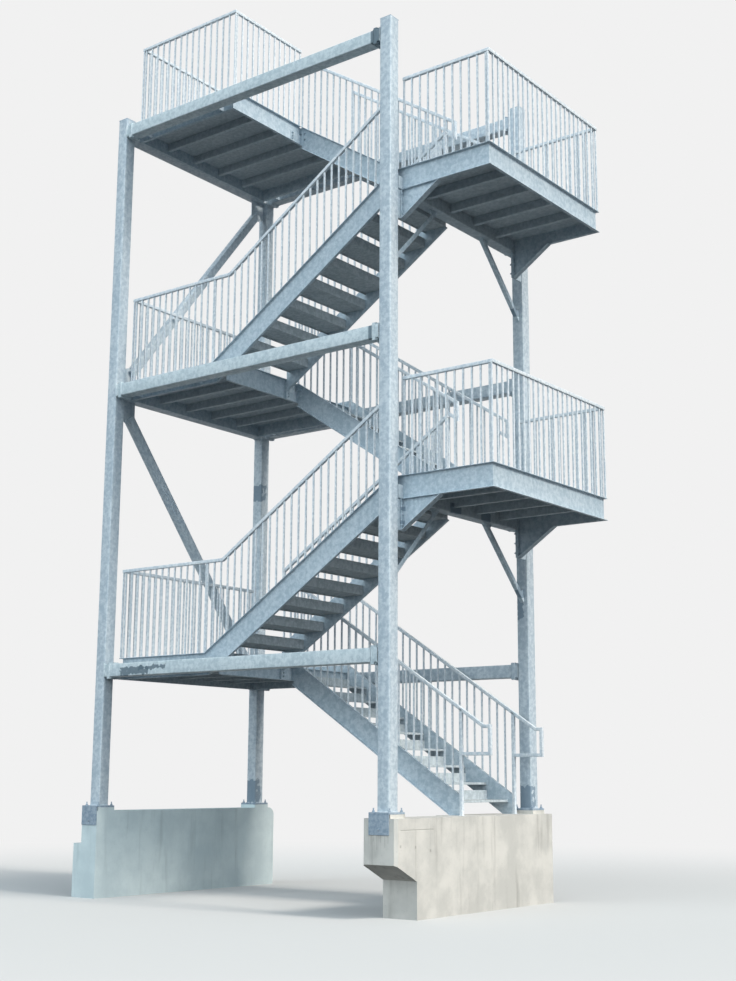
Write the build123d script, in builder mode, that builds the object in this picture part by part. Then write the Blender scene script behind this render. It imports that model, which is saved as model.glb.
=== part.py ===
from build123d import *
from math import atan, tan
import os

# Galvanised steel fire escape stair tower: four columns carry three landings on the left and two
# cantilevered half landings on the right, joined by five straight flights.
# Millimetres, +Z up, X along the front from left to right, Y from the front to the building.
# The origin is the middle of the tower's footprint, level with the underside of its concrete walls.

# Levels
landing_count = 3
half_count = 2
riser_count = 9
riser = 191.33
going = 292
flight_rise = riser_count * riser

# Columns
column_size = 152
column_wall = 8
column_radius = 16
column_head = 30
column_cap = 10
base_plate_size = 250
base_plate_thickness = 20

# Beams between the columns
beam_depth = 152
beam_width = 152
beam_wall = 6
beam_bevel = 8
beam_drop = 82
end_plate_thickness = 22
end_plate_margin = 22
stub_length = 45

# Channels of stringers and floor edges, their toes outwards, and the channels under the floors.
# Treads and floors lie below the tops of the channels, which serve as toe boards.
deck_set = 95
channel_depth = 254
channel_flange = 38
channel_web = 5
channel_edge = 7
joist_depth = 96
joist_flange = 48
joist_web = 5
landing_joists = 4
half_joists = 4
deck_thickness = 6
clip_thickness = 10
hanger_thickness = 12
hanger_inset = 200

# Plan of landings and flights
landing_gap = 30
landing_width = 1640
half_reach = 1145
flight_width = 1120
flight_gap = 154
front_gap = 49
back_gap = 130
step_set = 52
foot_end = 75

# Treads
tread_thickness = 5
tread_overlap = 4
nosing_height = 25
tread_upstand = 110

# Guards
guard_height = 1070
up_guard_height = 910
down_guard_height = 950
rail_size = 38
baluster_size = 19
baluster_pitch = 104
panel_gap = 3
guard_inset = 20
half_guard_gap = 15
foot_loop_reach = 389
foot_loop_drop = 290
foot_loop_slope_share = 0.8
end_loop_reach = 110
end_loop_drop = 190

# Haunches, knee braces and diagonals
haunch_depth = 318
haunch_length = 476
haunch_web = 10
haunch_edge = 12
haunch_plate = 16
knee_reach = 835
knee_leg = 50
knee_thickness = 7
knee_plate = 90
brace_size = 102
brace_wall = 6
brace_gap = 110
brace_slot = 90
gusset_thickness = 12
gusset_size = 240

# Concrete walls, with a pad of grout under each base plate
wall_height = 980
grout_thickness = 40
wall_end = 150
left_wall_outside = 254
left_wall_step = 370
left_wall_back = 245
left_wall_rounding = 100
right_wall_width = 420
right_wall_chamfer = 28
undercut_drop = 445
undercut_rise = 165
undercut_reach = 350
pad_margin = 120
apron_thickness = 10
apron_depth = 200

# Derived sizes
half_column = column_size / 2
deck_depth = 2 * flight_width + flight_gap
slope = riser / going
slope_cos = 1 / (1 + slope ** 2) ** 0.5
channel_rise = channel_depth / slope_cos
mitre = channel_depth * tan(atan(slope) / 2)
web_inset = channel_flange - channel_web
cross_drop = deck_set + deck_thickness
wall_top = -base_plate_thickness - grout_thickness
flight_run = (riser_count - 1) * going + step_set
bay_width = column_size + landing_gap + landing_width + flight_run
bay_depth = column_size + front_gap + deck_depth + back_gap
column_height = (2 * landing_count - 1) * flight_rise + column_head - column_cap
levels = [flight_rise * (2 * k + 1) for k in range(landing_count)]
half_levels = [flight_rise * (2 * k + 2) for k in range(half_count)]

# Places in the frame of the drawing: x from the right column line, y from the front column line,
# z from the tops of the base plates. Each level is the top of a landing's edge channels.
front_face = half_column + front_gap
back_face = front_face + deck_depth
landing_left = -bay_width + half_column + landing_gap
landing_right = landing_left + landing_width
half_left = -half_column
half_right = half_column + half_reach
inner_front = front_face + flight_width
inner_back = back_face - flight_width
stringer_kink = half_left - riser_count * going
foot_heel = landing_right + (flight_rise - channel_rise - wall_top) / slope

# Shift that brings the middle of the footprint to the origin.
left_end = -bay_width - left_wall_outside
front_end = -wall_end
back_end = bay_depth + left_wall_back
shift = Location((-(left_end + half_right) / 2, -(front_end + back_end) / 2, wall_height - wall_top))

os.makedirs("parts", exist_ok=True)


def finish(builder, name):
    """Label a finished sub-part, move it into the tower's frame and write it."""
    shape = builder.part.moved(shift)
    shape.label = name
    export_step(shape, f"parts/{name}.step")


def elevation(y):
    """Plane of a front elevation at depth y: local x is X, local y is Z, and its normal is -Y."""
    return Plane(origin=(0, y, 0), x_dir=(1, 0, 0), z_dir=(0, -1, 0))


def side_elevation(x):
    """Plane of a side elevation at x: local x is Y and local y is Z, normal towards +X."""
    return Plane(origin=(x, 0, 0), x_dir=(0, 1, 0), z_dir=(1, 0, 0))


def outline(plane, points, thickness):
    """Plate of the given outline on a plane, extruded along the plane's normal."""
    with BuildSketch(plane) as plate:
        with BuildLine():
            Polyline(*points, close=True)
        make_face()
    extrude(plate.sketch, amount=thickness)


def box_between(low, high, mode=Mode.ADD):
    """Box from its lowest to its highest corner."""
    sizes = [b - a for a, b in zip(low, high)]
    with Locations(tuple((a + b) / 2 for a, b in zip(low, high))):
        Box(*sizes, mode=mode)


def tube(plane, width, depth, wall, length, radius=0, bevel=0):
    """Hollow section drawn on a plane, its outer corners rounded, bevelled or square, and extruded."""
    with BuildSketch(plane) as section:
        if radius:
            RectangleRounded(width, depth, radius)
        else:
            Rectangle(width, depth)
        if bevel:
            chamfer(section.vertices(), bevel)
        Rectangle(width - 2 * wall, depth - 2 * wall, mode=Mode.SUBTRACT)
    extrude(section.sketch, amount=length)


def between(a, b, share):
    """Point at a share of the way from a to b."""
    return tuple(p + (q - p) * share for p, q in zip(a, b))


def channel(plane, inside, top, bottom, web_trim=(0, 0), depth=channel_depth):
    """Channel in elevation from the ends of its top and bottom edges, its toes on the plane.

    Inside is the side of the plane on which it lies: +1 along the normal, and -1 against it.
    The web is shorter than the flanges by the two trims.
    """
    amount = inside * channel_flange
    edge_share = channel_edge / depth
    outline(plane, [*top, between(top[1], bottom[1], edge_share), between(top[0], bottom[0], edge_share)],
            amount)
    outline(plane, [*bottom, between(bottom[1], top[1], edge_share), between(bottom[0], top[0], edge_share)],
            amount)
    first, last = web_trim
    web = [(top[0][0] + first, top[0][1]), (top[1][0] - last, top[1][1]),
           (bottom[1][0] - last, bottom[1][1]), (bottom[0][0] + first, bottom[0][1])]
    outline(plane.offset(inside * web_inset), web, inside * channel_web)


def level_channel(plane, inside, start, end, level, web_trim=(0, 0), top_set=0):
    """Level channel from start to end along the plane, its top edge set below the level."""
    z_top = level - top_set
    z_low = level - channel_depth
    channel(plane, inside, [(start, z_top), (end, z_top)], [(start, z_low), (end, z_low)], web_trim,
            channel_depth - top_set)


def joist(x_start, x_end, y, z_top):
    """Channel under a floor along X, with its web at y and its flanges towards the back."""
    box_between((x_start, y, z_top - joist_depth), (x_end, y + joist_web, z_top))
    for z in (z_top - joist_web, z_top - joist_depth):
        box_between((x_start, y, z), (x_end, y + joist_flange, z + joist_web))


def frame_joists(x_start, x_end, z_top, count):
    """Joists along X, evenly spaced between the front and back edges."""
    step = deck_depth / (count + 1)
    for k in range(count):
        joist(x_start, x_end, front_face + (k + 1) * step, z_top)


def column(x, y, name):
    """Square tube column with its welded base plate and cap plate; a front one has an apron plate."""
    half_base = base_plate_size / 2
    front = -wall_end if y == 0 else y - half_base
    with BuildPart() as post:
        tube(Plane((x, y, 0)), column_size, column_size, column_wall, column_height, column_radius)
        box_between((x - half_base, front, -base_plate_thickness), (x + half_base, y + half_base, 0))
        box_between((x - half_column, y - half_column, column_height),
                    (x + half_column, y + half_column, column_height + column_cap))
        if y == 0:
            box_between((x - half_base, front, -base_plate_thickness - apron_depth),
                        (x + half_base, front + apron_thickness, -base_plate_thickness))
    finish(post, name)


def beam_x(y, z_top, name):
    """Front or back beam: a tube with a bolted plate near each end and stubs on the columns."""
    start = -bay_width + half_column
    end = -half_column
    z_middle = z_top - beam_depth / 2
    with BuildPart() as beam:
        tube(Plane(origin=(start, y, z_middle), x_dir=(0, 1, 0), z_dir=(1, 0, 0)),
             beam_width, beam_depth, beam_wall, end - start, bevel=beam_bevel)
        plate_half = beam_depth / 2 + end_plate_margin
        for x in (start + stub_length, end - stub_length - 2 * end_plate_thickness):
            box_between((x, y - beam_width / 2, z_middle - plate_half),
                        (x + 2 * end_plate_thickness, y + beam_width / 2, z_middle + plate_half))
    finish(beam, name)


def side_beam(z_top, name):
    """Side beam: a tube welded between the left columns."""
    with BuildPart() as beam:
        tube(Plane(origin=(-bay_width, half_column, z_top - beam_depth / 2), x_dir=(0, 0, 1),
                   z_dir=(0, 1, 0)),
             beam_depth, beam_width, beam_wall, bay_depth - column_size, bevel=beam_bevel)
    finish(beam, name)


def cross_beam(level, name):
    """Cross beam under a half landing's floor, between the webs of its front and back channels.

    In the channels' recesses a stub of the same width goes on to each column.
    """
    z_top = level - cross_drop
    z_low = level - channel_depth + channel_edge
    y_start = front_face + channel_flange
    with BuildPart() as beam:
        tube(Plane(origin=(0, y_start, z_top - beam_depth / 2), x_dir=(0, 0, 1), z_dir=(0, 1, 0)),
             beam_depth, beam_width, beam_wall, deck_depth - 2 * channel_flange, bevel=beam_bevel)
        for y, y_end in ((half_column, front_face + web_inset),
                         (back_face - web_inset, bay_depth - half_column)):
            tube(Plane(origin=(0, y, (z_top + z_low) / 2), x_dir=(0, 0, 1), z_dir=(0, 1, 0)),
                 z_top - z_low, beam_width, beam_wall, y_end - y)
    finish(beam, name)


def clip(y_web, level):
    """Plate in the recess of a landing's right channel, in line with a stringer's web."""
    box_between((landing_right - web_inset, y_web, level - channel_depth + channel_edge),
                (landing_right, y_web + clip_thickness, level - deck_set - channel_edge))


def hangers(x, z_top):
    """Fins that carry a landing's front and back channels on the beams beside them."""
    z_beam = z_top - beam_drop
    for y_low, y_high in ((half_column, front_face + web_inset),
                          (back_face - web_inset, bay_depth - half_column)):
        box_between((x, y_low, z_beam - beam_depth), (x + hanger_thickness, y_high, z_beam))


def landing_frame(level, name, kinked):
    """Channels and joists of a landing; a kinked front channel turns up into the stringer.

    The right channel is set down to the floor where flights arrive.
    """
    front_stop = stringer_kink if kinked else landing_right
    turn = mitre if kinked else 0
    entrance = front_face + channel_flange if kinked else inner_back
    z_low = level - channel_depth
    right = side_elevation(landing_right)
    with BuildPart() as frame:
        channel(elevation(front_face), -1, [(landing_left, level), (front_stop, level)],
                [(landing_left, z_low), (front_stop + turn, z_low)],
                (web_inset, 0 if kinked else web_inset))
        level_channel(elevation(back_face), 1, landing_left, landing_right, level, (web_inset, 0))
        level_channel(side_elevation(landing_left), 1, front_face, back_face, level,
                      (web_inset, web_inset))
        if not kinked:
            level_channel(right, -1, front_face, entrance, level, (web_inset, 0))
        level_channel(right, -1, entrance, back_face, level, (0, web_inset), deck_set)
        frame_joists(landing_left + channel_flange, landing_right - channel_flange,
                     level - cross_drop, landing_joists)
        clip(inner_back + web_inset, level)
        if kinked:
            clip(inner_front - channel_flange, level)
        for x in (landing_left + hanger_inset, front_stop - hanger_inset):
            hangers(x, level)
    finish(frame, name)


def half_landing_frame(level, name):
    """Channels and joists of a half landing, from the ends of the stringers to its far edge."""
    with BuildPart() as frame:
        level_channel(elevation(front_face), -1, half_left, half_right, level, (0, web_inset))
        level_channel(elevation(back_face), 1, half_left, half_right, level, (0, web_inset))
        level_channel(side_elevation(half_right), -1, front_face, back_face, level,
                      (web_inset, web_inset))
        frame_joists(half_column, half_right - channel_flange, level - cross_drop, half_joists)
    finish(frame, name)


def deck(x_start, x_end, level):
    """Floor plate let in between the channels' webs, on the joists."""
    box_between((x_start, front_face + channel_flange, level - cross_drop),
                (x_end, back_face - channel_flange, level - deck_set))


def front_flight_line(level):
    """Top edge of a front flight's stringer, from its kink at a landing up to the half landing."""
    return [(stringer_kink, level), (half_left, level + flight_rise)]


def back_flight_line(level):
    """Top edge of a back flight's stringer, from a landing down towards the next half landing."""
    end = half_left if level > flight_rise else -foot_end
    return [(landing_right, level), (end, level - (end - landing_right) * slope)]


def height_at(line, x):
    """Height of a line of (x, z) points at x."""
    for (xa, za), (xb, zb) in zip(line, line[1:]):
        if xa <= x <= xb:
            return za + (zb - za) * (x - xa) / (xb - xa)
    end = line[0] if x < line[0][0] else line[-1]
    return end[1]


def lowered(line):
    """Line of a stringer's bottom edge below its top edge."""
    return [(x, z - channel_rise) for x, z in line]


def front_stringers(level, name):
    """Pair of stringers of a front flight; the outer one is mitred to the landing's channel."""
    top = front_flight_line(level)
    bottom = lowered(top)
    inner_top = [(landing_right, height_at(top, landing_right)), top[1]]
    with BuildPart() as pair:
        channel(elevation(front_face), -1, top, [(stringer_kink + mitre, level - channel_depth), bottom[1]])
        channel(elevation(inner_front), 1, inner_top, lowered(inner_top))
    finish(pair, name)


def back_stringers(level, name):
    """Pair of stringers of a back flight; the lowest pair stands on the concrete."""
    top = back_flight_line(level)
    with BuildPart() as pair:
        channel(elevation(inner_back), -1, top, lowered(top))
        channel(elevation(back_face), 1, top, lowered(top))
        if level == levels[0]:
            box_between((landing_right, front_face, wall_top - channel_rise),
                        (half_column, back_face, wall_top), Mode.SUBTRACT)
    finish(pair, name)


def treads(first_nosing, level, climb, y_start, name):
    """Folded plate treads between the webs; climb is +1 where a flight rises to the right, else -1."""
    length = flight_width - 2 * channel_flange
    depth = going - tread_overlap
    edge = tread_thickness
    folded = [(0, 0), (depth - edge, 0), (depth - edge, tread_upstand - edge), (depth, tread_upstand - edge),
              (depth, -edge), (edge, -edge), (edge, -nosing_height), (0, -nosing_height)]
    with BuildPart() as steps:
        with BuildSketch(elevation(y_start + channel_flange)) as profiles:
            for k in range(riser_count - 1):
                x = first_nosing + climb * k * going
                z = level + (k + 1) * riser - deck_set
                with BuildLine():
                    Polyline(*[(x + climb * a, z + b) for a, b in folded], close=True)
                make_face()
        extrude(profiles.sketch, amount=-length)
    finish(steps, name)


def guard(plane, foot, head, path, start, end):
    """Guard panel on a plane: square balusters from the foot line to the head line, and a rail."""
    count = max(2, round((end - start) / baluster_pitch) + 1)
    half = baluster_size / 2
    step = (end - start - baluster_size) / (count - 1)
    places = [start + half + k * step for k in range(count)]
    with BuildSketch(plane) as bars:
        for x in places:
            with BuildLine():
                Polyline((x - half, height_at(foot, x - half)), (x + half, height_at(foot, x + half)),
                         (x + half, height_at(head, x + half) - rail_size / 2),
                         (x - half, height_at(head, x - half) - rail_size / 2), close=True)
            make_face()
    extrude(bars.sketch, amount=half, both=True)
    with BuildLine(plane) as rail:
        Polyline(*[(x, z - rail_size / 2) for x, z in path])
    with BuildSketch(Plane(origin=rail.line @ 0, z_dir=rail.line % 0, x_dir=plane.z_dir)) as section:
        Rectangle(rail_size, rail_size)
    sweep(section.sketch, path=rail.line, transition=Transition.RIGHT)


def level_guard(plane, start, end, z):
    """Guard panel along a level edge."""
    head = [(start, z + guard_height), (end, z + guard_height)]
    guard(plane, [(start, z), (end, z)], head, head, start, end)


def front_flight_guards(level, name):
    """Guards of a front flight, on its outer and its inner stringer."""
    line = front_flight_line(level)
    turn = (guard_height - up_guard_height) / slope
    head = [(stringer_kink, level + guard_height), (stringer_kink + turn, level + guard_height),
            (half_left, level + flight_rise + up_guard_height)]
    inner_start = landing_right + panel_gap
    inner_head = [(inner_start, height_at(line, inner_start) + up_guard_height), head[-1]]
    with BuildPart() as panels:
        guard(elevation(front_face + guard_inset), line, head, head, stringer_kink, half_left)
        guard(elevation(inner_front - guard_inset), line, inner_head, inner_head, inner_start, half_left)
    finish(panels, name)


def back_flight_guards(level, name):
    """Guards of a back flight; each rail ends in a loop, a long one over the lowest flight's foot."""
    line = back_flight_line(level)
    start = landing_right + panel_gap
    end = line[-1][0]
    head = [(start, height_at(line, start) + down_guard_height), (end, line[-1][1] + down_guard_height)]
    lowest = level == levels[0]
    if lowest:
        last_bar = end - baluster_pitch + baluster_size
        turn = end + foot_loop_reach * foot_loop_slope_share
        reach = end + foot_loop_reach
        drop = head[-1][1] - (turn - end) * slope
        path = [head[0], (turn, drop), (reach, drop), (reach, drop - foot_loop_drop),
                (end + rail_size, drop - foot_loop_drop)]
    else:
        last_bar = end - end_loop_reach
        low = head[-1][1] - end_loop_drop
        path = head + [(end, low), (last_bar, low + end_loop_reach * slope)]
    with BuildPart() as panels:
        for y in (inner_back + guard_inset, back_face - guard_inset):
            guard(elevation(y), line, head, path, start, last_bar)
            if lowest:
                outline(elevation(y + rail_size / 2),
                        [(end, wall_top), (end + rail_size, wall_top),
                         (end + rail_size, height_at(path, end + rail_size) - rail_size / 2),
                         (end, head[-1][1] - rail_size / 2)], rail_size)
    finish(panels, name)


def landing_guards(level, kinked, name):
    """Guards round a landing: front, left, and on the top landing also beside the missing flight."""
    front_stop = stringer_kink if kinked else landing_right
    with BuildPart() as panels:
        level_guard(elevation(front_face + guard_inset), landing_left + rail_size + panel_gap,
                    front_stop - panel_gap, level)
        level_guard(side_elevation(landing_left + guard_inset), front_face, back_face, level)
        if not kinked:
            level_guard(side_elevation(landing_right - guard_inset),
                        front_face + guard_inset + rail_size / 2 + panel_gap, inner_back, level)
    finish(panels, name)


def half_landing_guards(level, name):
    """Guards round a half landing: front, right and back."""
    with BuildPart() as panels:
        for y in (front_face + guard_inset, back_face - guard_inset):
            level_guard(elevation(y), half_column + half_guard_gap, half_right - rail_size - panel_gap,
                        level)
        level_guard(side_elevation(half_right - guard_inset), front_face, back_face, level)
    finish(panels, name)


def haunches(level, name):
    """Tapered haunches under the front and back channels of a half landing.

    Each is bolted by its end plate to a bracket plate that stands on the column's inner face.
    """
    top = level - channel_depth
    toe = top - haunch_depth
    low = toe - haunch_edge
    tip = half_column + haunch_length
    plate_start = half_column - haunch_plate
    with BuildPart() as pair:
        for y, y_bracket, y_column in (
                (front_face, front_face + 2 * channel_flange, half_column),
                (back_face - 2 * channel_flange, back_face - 2 * channel_flange, bay_depth - half_column)):
            middle = y + channel_flange
            outline(elevation(middle - haunch_web / 2), [(half_column, top), (half_column, toe), (tip, top)],
                    -haunch_web)
            outline(elevation(y), [(half_column, toe), (half_column, low), (tip + haunch_edge, top),
                    (tip, top)], -2 * channel_flange)
            box_between((plate_start, y, low), (half_column, y + 2 * channel_flange, top))
            box_between((plate_start - haunch_plate, min(y_bracket, y_column), low),
                        (plate_start, max(y_bracket, y_column), top))
    finish(pair, name)


def knee_braces(name):
    """Angle braces with gusset plates, from the right columns up to the cross beams."""
    band = knee_leg * 2 ** 0.5
    skin = knee_thickness * 2 ** 0.5
    outer = knee_leg / 2
    with BuildPart() as braces:
        for level in half_levels:
            z = level - cross_drop - beam_depth
            for y, turn in ((half_column, 1), (bay_depth - half_column, -1)):
                far = y + turn * knee_reach
                outline(side_elevation(outer - knee_thickness),
                        [(y, z - knee_reach), (far, z), (far - turn * band, z), (y, z - knee_reach + band)],
                        knee_thickness)
                outline(side_elevation(-outer),
                        [(y, z - knee_reach), (far, z), (far - turn * skin, z), (y, z - knee_reach + skin)],
                        knee_leg)
                gusset = side_elevation(outer - knee_thickness - gusset_thickness)
                outline(gusset, [(y, z - knee_reach + skin), (y, z - knee_reach + knee_plate + band),
                        (y + turn * knee_plate, z - knee_reach + knee_plate + skin)], gusset_thickness)
                outline(gusset, [(far - turn * skin, z), (far - turn * (knee_plate + band), z),
                        (far - turn * (knee_plate + skin), z - knee_plate)], gusset_thickness)
    finish(braces, name)


def side_braces(name):
    """Diagonal tubes between the left columns, slotted onto gusset plates at the beams' ends."""
    z_middle = levels[1] - beam_drop - beam_depth / 2
    rise = 2 * flight_rise
    length = (bay_depth ** 2 + rise ** 2) ** 0.5
    along = (bay_depth / length, rise / length)
    first = (half_column + beam_depth / 2 + brace_gap + gusset_size) / sum(along)
    half = brace_size / 2
    with BuildPart() as braces:
        for turn in (1, -1):
            direction = Vector(0, along[0], turn * along[1])
            start = Vector(-bay_width, 0, z_middle) + direction * first
            tube(Plane(origin=start, x_dir=(1, 0, 0), z_dir=direction), brace_size, brace_size,
                 brace_wall, length - 2 * first)
            for y_node, z_node, way in ((0, z_middle, 1), (bay_depth, z_middle + turn * rise, -1)):
                y_side = y_node + way * half_column
                z_side = z_node + way * turn * beam_depth / 2
                reach = first + brace_slot
                y_tip = y_node + way * along[0] * reach
                z_tip = z_node + way * turn * along[1] * reach
                y_off = way * along[1] * half
                z_off = way * turn * along[0] * half
                outline(side_elevation(-bay_width - gusset_thickness / 2),
                        [(y_side, z_side), (y_side + way * gusset_size, z_side),
                         (y_tip + y_off, z_tip - z_off), (y_tip - y_off, z_tip + z_off),
                         (y_side, z_side + way * turn * gusset_size)], gusset_thickness)
    finish(braces, name)


def grout_pads(x):
    """Pads of grout between the concrete and the base plates of the two columns at x."""
    half_base = base_plate_size / 2
    for y in (0, bay_depth):
        box_between((x - half_base, y - half_base, wall_top),
                    (x + half_base, y + half_base, -base_plate_thickness))


def left_wall(name):
    """Concrete wall that carries both left columns: stepped outwards, its back top edge rounded."""
    front = -wall_end + apron_thickness
    step_top = wall_top - left_wall_step
    ground = wall_top - wall_height
    half_base = base_plate_size / 2
    with BuildPart() as wall:
        box_between((-bay_width - half_base, front, step_top), (-bay_width + half_base, back_end, wall_top))
        box_between((left_end, front, ground), (-bay_width + half_base, back_end, step_top))
        top_edges = wall.edges().filter_by(Axis.X).sort_by(Axis.Z)[-2:]
        fillet(top_edges.sort_by(Axis.Y)[-1], left_wall_rounding)
        grout_pads(-bay_width)
    finish(wall, name)


def right_wall(name):
    """Concrete wall that carries both right columns, with the pad under the lowest flight's foot.

    Its front end hangs over the ground with a sloped underside.
    """
    front = -wall_end + apron_thickness
    half = right_wall_width / 2
    undercut_top = wall_top - undercut_drop
    undercut_end = front + undercut_reach
    ground = wall_top - wall_height
    with BuildPart() as wall:
        box_between((-half, front, ground), (half, bay_depth + wall_end, wall_top))
        chamfer(wall.edges().filter_by(Axis.Z).sort_by(Axis.Y)[:2], right_wall_chamfer)
        box_between((foot_heel - pad_margin, inner_back - half_column, ground),
                    (half, back_face, wall_top))
        with BuildSketch(side_elevation(-half)) as undercut:
            with BuildLine():
                Polyline((front, undercut_top), (undercut_end, undercut_top - undercut_rise),
                         (undercut_end, ground), (front, ground), close=True)
            make_face()
        extrude(undercut.sketch, amount=right_wall_width, mode=Mode.SUBTRACT)
        grout_pads(0)
    finish(wall, name)


for side, x in (("left", -bay_width), ("right", 0)):
    for row, y in (("front", 0), ("back", bay_depth)):
        column(x, y, f"column_{row}_{side}")

for number, level in enumerate(levels, 1):
    top_landing = number == landing_count
    beam_top = level - beam_drop
    beam_x(0, beam_top, f"front_beam_{number}")
    beam_x(bay_depth, beam_top, f"back_beam_{number}")
    side_beam(beam_top, f"side_beam_{number}")
    landing_frame(level, f"landing_frame_{number}", not top_landing)
    landing_guards(level, not top_landing, f"landing_guards_{number}")
    back_stringers(level, f"down_flight_stringers_{number}")
    treads(landing_right + (riser_count - 1) * going, level - flight_rise, -1, inner_back,
           f"down_flight_treads_{number}")
    back_flight_guards(level, f"down_flight_guards_{number}")

for number, level in enumerate(half_levels, 1):
    cross_beam(level, f"cross_beam_{number}")
    half_landing_frame(level, f"half_landing_frame_{number}")
    half_landing_guards(level, f"half_landing_guards_{number}")
    haunches(level, f"haunches_{number}")
    lower = level - flight_rise
    front_stringers(lower, f"up_flight_stringers_{number}")
    treads(half_left - (riser_count - 1) * going, lower, 1, front_face, f"up_flight_treads_{number}")
    front_flight_guards(lower, f"up_flight_guards_{number}")

with BuildPart() as decks:
    for level in levels:
        deck(landing_left + channel_flange, landing_right - channel_flange, level)
finish(decks, "landing_decks")
with BuildPart() as half_decks:
    for level in half_levels:
        deck(half_left, half_right - channel_flange, level)
finish(half_decks, "half_landing_decks")

knee_braces("knee_braces")
side_braces("side_braces")
left_wall("left_wall")
right_wall("right_wall")
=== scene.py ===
import math
import bmesh
import bpy
import numpy as np
from mathutils import Matrix, Vector


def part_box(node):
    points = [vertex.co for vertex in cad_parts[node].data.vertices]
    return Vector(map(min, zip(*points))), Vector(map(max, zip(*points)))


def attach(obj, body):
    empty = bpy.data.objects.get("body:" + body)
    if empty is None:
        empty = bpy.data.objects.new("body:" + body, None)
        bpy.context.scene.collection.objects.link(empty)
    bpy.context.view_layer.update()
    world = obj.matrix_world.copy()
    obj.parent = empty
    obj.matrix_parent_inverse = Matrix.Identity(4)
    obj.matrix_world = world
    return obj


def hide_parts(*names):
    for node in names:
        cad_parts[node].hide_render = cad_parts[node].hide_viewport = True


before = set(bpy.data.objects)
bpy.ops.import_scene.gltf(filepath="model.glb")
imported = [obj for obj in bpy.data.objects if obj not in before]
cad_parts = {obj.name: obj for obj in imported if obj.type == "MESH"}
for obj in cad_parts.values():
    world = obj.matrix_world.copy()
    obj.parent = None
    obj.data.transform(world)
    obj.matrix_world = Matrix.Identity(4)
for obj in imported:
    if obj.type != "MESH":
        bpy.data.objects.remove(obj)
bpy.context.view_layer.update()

# Galvanising. Every steel piece was dipped in a zinc bath after welding: pale blue-grey, with cloudy
# patches, crystals a centimetre or two wide, and faint runs where the zinc drained off.


def put(tree, kind, inputs=(), **settings):
    """Node of one kind; inputs pairs a socket's name or number with a value or another socket."""
    node = tree.nodes.new("ShaderNode" + kind)
    for key, value in settings.items():
        setattr(node, key, value)
    for key, value in inputs:
        if isinstance(value, bpy.types.NodeSocket):
            tree.links.new(value, node.inputs[key])
        else:
            node.inputs[key].default_value = value
    return node


def reckon(tree, operation, first, second=0.0):
    """Result of one sum on two values or sockets."""
    return put(tree, "Math", [(0, first), (1, second)], operation=operation).outputs[0]


def blended(tree, share, first, second):
    """Colour that goes from the first to the second as share goes from 0 to 1."""
    return put(tree, "Mix", [(0, share), (6, first), (7, second)], data_type="RGBA").outputs[2]


def between(tree, value, low, high, start=0.0, end=1.0):
    """Value carried smoothly from the range low to high to the range start to end."""
    return put(tree, "MapRange", [(0, value), (1, low), (2, high), (3, start), (4, end)],
               interpolation_type="SMOOTHSTEP").outputs[0]


def noise(tree, place, scale, detail=3.0, roughness=0.55):
    """Cloudy noise from 0 to 1, with scale clouds to the metre."""
    return put(tree, "TexNoise", [("Vector", place), ("Scale", scale), ("Detail", detail),
                                  ("Roughness", roughness)]).outputs["Fac"]


def stretched(tree, place, factors):
    """Place with each coordinate multiplied by its factor."""
    return put(tree, "Mapping", [("Vector", place), ("Scale", factors)]).outputs[0]


def effect(name, inputs, outputs):
    """New node group with its named inputs (name, socket type, value) and outputs (name, type)."""
    group = bpy.data.node_groups.new(name, "ShaderNodeTree")
    for label, kind, value in inputs:
        socket = group.interface.new_socket(label, in_out="INPUT", socket_type="NodeSocket" + kind)
        socket.default_value = value
    for label, kind in outputs:
        group.interface.new_socket(label, in_out="OUTPUT", socket_type="NodeSocket" + kind)
    entry = group.nodes.new("NodeGroupInput")
    leave = group.nodes.new("NodeGroupOutput")
    return group, entry.outputs, leave.inputs


def place_group(tree, group, inputs=()):
    """Outputs of a node group placed in a material's tree."""
    return put(tree, "Group", inputs, node_tree=group).outputs


def new_material(name):
    """Material with its node tree and its shader's inputs."""
    material = bpy.data.materials.new(name)
    material.use_nodes = True
    return material, material.node_tree, material.node_tree.nodes["Principled BSDF"].inputs


zinc, given, out = effect(
    "zinc coat",
    [("Bright", "Color", (0.62, 0.70, 0.77, 1)), ("Dull", "Color", (0.42, 0.52, 0.62, 1)),
     ("Cloud Scale", "Float", 20.0), ("Crystal Scale", "Float", 60.0), ("Crystal Depth", "Float", 0.4)],
    [("Colour", "Color"), ("Roughness", "Float"), ("Height", "Float")])
place = put(zinc, "TexCoord").outputs["Object"]
clouds = noise(zinc, place, given["Cloud Scale"], 5.0, 0.62)
broad = noise(zinc, place, 0.9, 2.0)
runs = noise(zinc, stretched(zinc, place, (24.0, 24.0, 1.6)), 1.0, 2.0)
crystals = put(zinc, "TexVoronoi", [("Vector", place), ("Scale", given["Crystal Scale"]),
                                    ("Randomness", 1.0)]).outputs["Color"]
crystal = put(zinc, "SeparateColor", [(0, crystals)]).outputs[0]
speckle = reckon(zinc, "MULTIPLY", reckon(zinc, "SUBTRACT", crystal, 0.5), given["Crystal Depth"])
shade = reckon(zinc, "ADD", between(zinc, clouds, 0.33, 0.67), speckle)
shade = reckon(zinc, "ADD", shade, between(zinc, runs, 0.3, 0.75, -0.15, 0.15))
shade = reckon(zinc, "ADD", shade, between(zinc, broad, 0.3, 0.7, -0.15, 0.15))
shade = put(zinc, "Clamp", [(0, shade)]).outputs[0]
zinc.links.new(blended(zinc, shade, given["Dull"], given["Bright"]), out["Colour"])
zinc.links.new(between(zinc, shade, 0.0, 1.0, 0.66, 0.48), out["Roughness"])
zinc.links.new(reckon(zinc, "ADD", reckon(zinc, "MULTIPLY", crystal, 0.25), clouds), out["Height"])

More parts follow.
